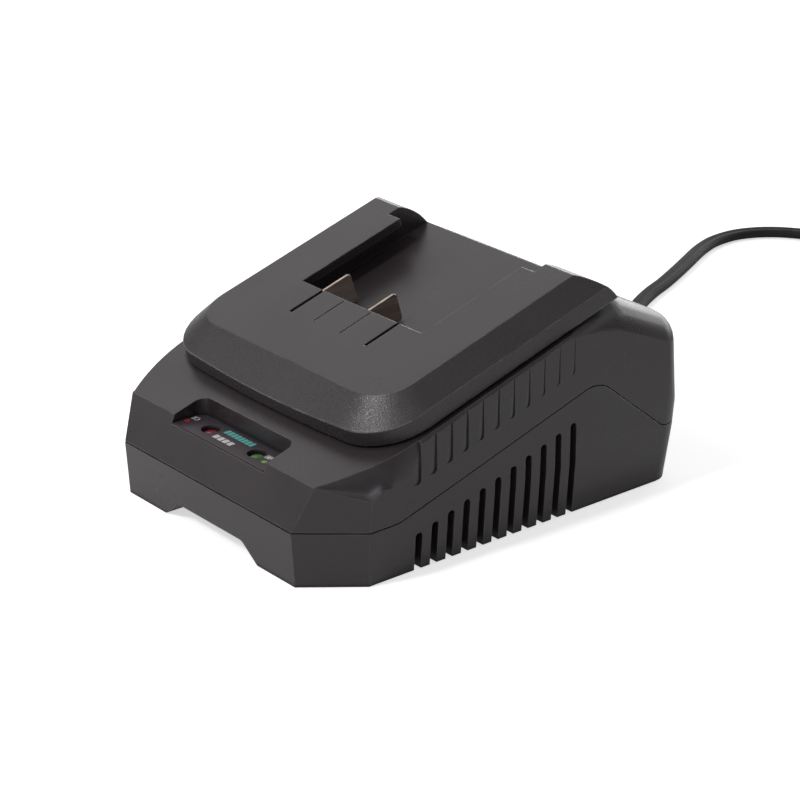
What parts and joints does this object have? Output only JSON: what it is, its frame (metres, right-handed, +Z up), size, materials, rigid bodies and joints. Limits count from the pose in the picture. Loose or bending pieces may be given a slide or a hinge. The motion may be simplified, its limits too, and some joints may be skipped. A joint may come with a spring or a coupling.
{
  "type": "power tool battery charger",
  "caption": "Mains charging base for slide-on tool batteries: low faceted housing with side vents, tilted dock with blade contacts, two lamps and a flat cord.",
  "frame": {"origin": "middle of the housing footprint, on the surface it stands on, without the cord", "axes": "+Z up, +X to the right seen from the front, +Y from the front with the lamps to the rear with the cord"},
  "size_m": [0.1894, 0.3418, 0.068],
  "materials": {
    "housing_plastic": "fine satin moulded grain",
    "dock_plastic": "fine satin moulded grain",
    "contact_bronze": "rolled spring bronze",
    "insulator": "moulded nylon",
    "label_film": "printed polyester film",
    "board": "solder resist on glass epoxy",
    "red_lens": "tinted epoxy",
    "green_lens": "tinted epoxy",
    "ferrite": "ground ferrite",
    "winding_tape": "polyester tape over copper windings",
    "capacitor_sleeve": "shrunk sleeve",
    "copper_wire": "enamelled copper",
    "film_box": "potted box",
    "disc_coating": "dipped epoxy",
    "fuse_metal": "plated cap and clip",
    "device_resin": "moulded resin",
    "heat_sink_metal": "extruded",
    "lead_insulation": "soft wire insulation",
    "tinned_wire": "tinned",
    "screw_steel": "zinc plated",
    "cord_jacket": "smooth flexible jacket",
    "plug_plastic": "moulded on, satin",
    "tie_plastic": "nylon",
    "pin_metal": "nickel plated"
  },
  "bodies": {
    "root": {"lower_housing": "housing_plastic", "upper_housing": "housing_plastic", "battery_dock": "dock_plastic", "terminal_block": "insulator", "positive_blade": "contact_bronze", "negative_blade": "contact_bronze", "indicator_label": "label_film", "indicator_board": "board", "red_led": "red_lens", "green_led": "green_lens", "main_board": "board", "transformer_core": "ferrite", "transformer_winding": "winding_tape", "bulk_capacitor": "capacitor_sleeve", "output_capacitors": "capacitor_sleeve", "output_inductor": "copper_wire", "choke_core": "ferrite", "choke_winding": "copper_wire", "film_capacitor": "film_box", "varistor": "disc_coating", "fuse": "fuse_metal", "bridge_rectifier": "device_resin", "primary_heat_sink": "heat_sink_metal", "output_heat_sink": "heat_sink_metal", "power_transistor": "device_resin", "output_diode": "device_resin", "control_chips": "device_resin", "mains_leads": "lead_insulation", "output_leads": "lead_insulation", "indicator_leads": "tinned_wire", "housing_screws": "screw_steel", "dock_screws": "screw_steel", "board_screws": "screw_steel", "strain_relief": "plug_plastic", "cord": "cord_jacket", "cord_coil": "cord_jacket", "cord_tail": "cord_jacket", "cord_tie": "tie_plastic", "mains_plug": "plug_plastic", "plug_pins": "pin_metal"}
  },
  "joints": []
}
